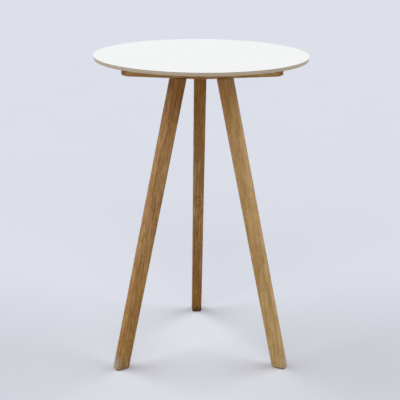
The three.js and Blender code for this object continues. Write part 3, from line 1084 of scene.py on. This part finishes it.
class TABLE_OT_glides(bpy.types.Operator):
    """Model one foot glide and copy it under the three legs"""

    bl_idname = "table.glides"
    bl_label = "Foot glides"

    def execute(self, context):
        sizes = context.scene.table_sizes
        low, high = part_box("foot_glide_rear")
        piece = block(Vector((low.y, low.x, low.z)), Vector((high.y, high.x, high.z)))
        for end, radius in ((high.y, sizes.glide_outer_corner), (low.y, sizes.glide_inner_corner)):
            pick("EDGE", lambda ends: abs(ends[0].z - ends[1].z) > NEAR and abs(ends[0].x - end) < NEAR)
            bpy.ops.mesh.bevel(offset=radius, segments=LONG_EDGE_STEPS, affect="EDGES")
        pick("EDGE", lambda ends: all(c.z < low.z + NEAR for c in ends))
        bpy.ops.mesh.bevel(offset=sizes.glide_edge, segments=EDGE_STEPS, affect="EDGES")
        bpy.ops.object.mode_set(mode="OBJECT")
        head = on_master("glide_nail_rear")
        head.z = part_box("glide_nail_rear")[0].z
        holes = [
            (head, head + UP * sizes.nail_pocket_height, sizes.nail_pocket, WIDE_HOLE),
            (head, head + UP * high.z, sizes.nail_hole, NARROW_HOLE),
        ]
        bore(piece, holes)
        smooth(piece)
        material = moulded_nylon(context.scene.table_colours)
        for arm in ARMS:
            copy = on_arm(piece, f"nylon_glide_{arm}", arm)
            settle(copy, f"foot_glide_{arm}", material)
        bpy.data.objects.remove(piece)
        return {"FINISHED"}


class TABLE_OT_hardware(bpy.types.Operator):
    """Give the dowels, bolts, washers, inserts, screws and nails their finishes"""

    bl_idname = "table.hardware"
    bl_label = "Hardware"

    def execute(self, context):
        colours = context.scene.table_colours
        finishes = {"beech": turned_beech(colours), "zinc_steel": plated_steel(colours)}
        for entry in frame["record"]["subparts"]:
            finish = finishes.get(entry["material_slot"])
            if finish:
                data = frame["nodes"][entry["node"]].data
                data.materials.clear()
                data.materials.append(finish)
        return {"FINISHED"}


class TABLE_OT_stage(bpy.types.Operator):
    """Lay the floor, light it and set the camera"""

    bl_idname = "table.stage"
    bl_label = "Stage"

    def execute(self, context):
        scene = context.scene
        settings = scene.table_stage
        colours = scene.table_colours
        bpy.ops.object.select_all(action="DESELECT")
        bpy.ops.mesh.primitive_plane_add(size=FLOOR_SIZE)
        floor = context.object
        floor.name = "floor"
        floor.data.materials.append(matt_floor(colours))

        # Each lamp's bearing from the front, its height and its spread, in degrees
        for name, bearing, rise, spread, power, hue in (
            ("key light", -103, 42, 60, settings.key, settings.daylight),
            ("fill light", 100, 35, 60, settings.fill, settings.daylight),
            ("front light", -12, 24, 60, settings.front, WHITE),
        ):
            turn = (math.radians(90 - rise), 0, math.radians(bearing))
            bpy.ops.object.light_add(type="SUN", rotation=turn)
            lamp = context.object
            lamp.name = name
            lamp.data.energy = power
            lamp.data.color = hue
            lamp.data.angle = math.radians(spread)

        world = bpy.data.worlds.new("soft surround")
        world.use_nodes = True
        scene.world = world
        tree = world.node_tree
        tree.nodes.clear()
        light = add(tree, "Background", {"Color": four(WHITE), "Strength": settings.ambient})
        backdrop = add(tree, "Background", {"Color": four(colours.backdrop), "Strength": 1})
        both = add(tree, "MixShader", {0: seen_rays(tree), 1: light.outputs[0], 2: backdrop.outputs[0]})
        add(tree, "OutputWorld", {"Surface": both.outputs[0]})

        bpy.ops.object.camera_add()
        camera = context.object
        camera.name = "camera"
        back = Vector((0, -settings.camera_distance, settings.camera_height))
        stand = Matrix.Rotation(-settings.camera_round, 3, "Z") @ back
        heading = Matrix.Rotation(-settings.camera_yaw - settings.camera_round, 4, "Z")
        tilt = Matrix.Rotation(math.pi / 2 - settings.camera_pitch, 4, "X")
        roll = Matrix.Rotation(settings.camera_roll, 4, "Z")
        camera.matrix_world = Matrix.Translation(stand) @ heading @ tilt @ roll
        camera.data.sensor_width = 36
        camera.data.lens = settings.lens
        camera.data.clip_end = SIGHT
        scene.camera = camera
        scene.view_settings.view_transform = "Standard"
        return {"FINISHED"}


class TABLE_PT_pieces(bpy.types.Panel):
    """Lists the pieces of the table"""

    bl_idname = "TABLE_PT_pieces"
    bl_label = "Standing meeting table"
    bl_space_type = "VIEW_3D"
    bl_region_type = "UI"
    bl_category = "Table"

    def draw(self, context):
        for operator in OPERATORS:
            self.layout.operator(operator.bl_idname)


GROUPS = {"table_sizes": TableSizes, "table_colours": TableColours, "table_stage": StageSettings}
OPERATORS = (
    TABLE_OT_top,
    TABLE_OT_bearers,
    TABLE_OT_legs,
    TABLE_OT_glides,
    TABLE_OT_hardware,
    TABLE_OT_stage,
)


def register():
    for name, group in GROUPS.items():
        bpy.utils.register_class(group)
        setattr(bpy.types.Scene, name, bpy.props.PointerProperty(type=group))
    for operator in OPERATORS:
        bpy.utils.register_class(operator)
    bpy.utils.register_class(TABLE_PT_pieces)


def unregister():
    bpy.utils.unregister_class(TABLE_PT_pieces)
    for operator in reversed(OPERATORS):
        bpy.utils.unregister_class(operator)
    for name, group in reversed(GROUPS.items()):
        delattr(bpy.types.Scene, name)
        bpy.utils.unregister_class(group)


def main():
    register()
    bpy.ops.table.top()
    bpy.ops.table.bearers()
    bpy.ops.table.legs()
    bpy.ops.table.glides()
    bpy.ops.table.hardware()
    bpy.ops.table.stage()


if __name__ == "__main__":
    main()
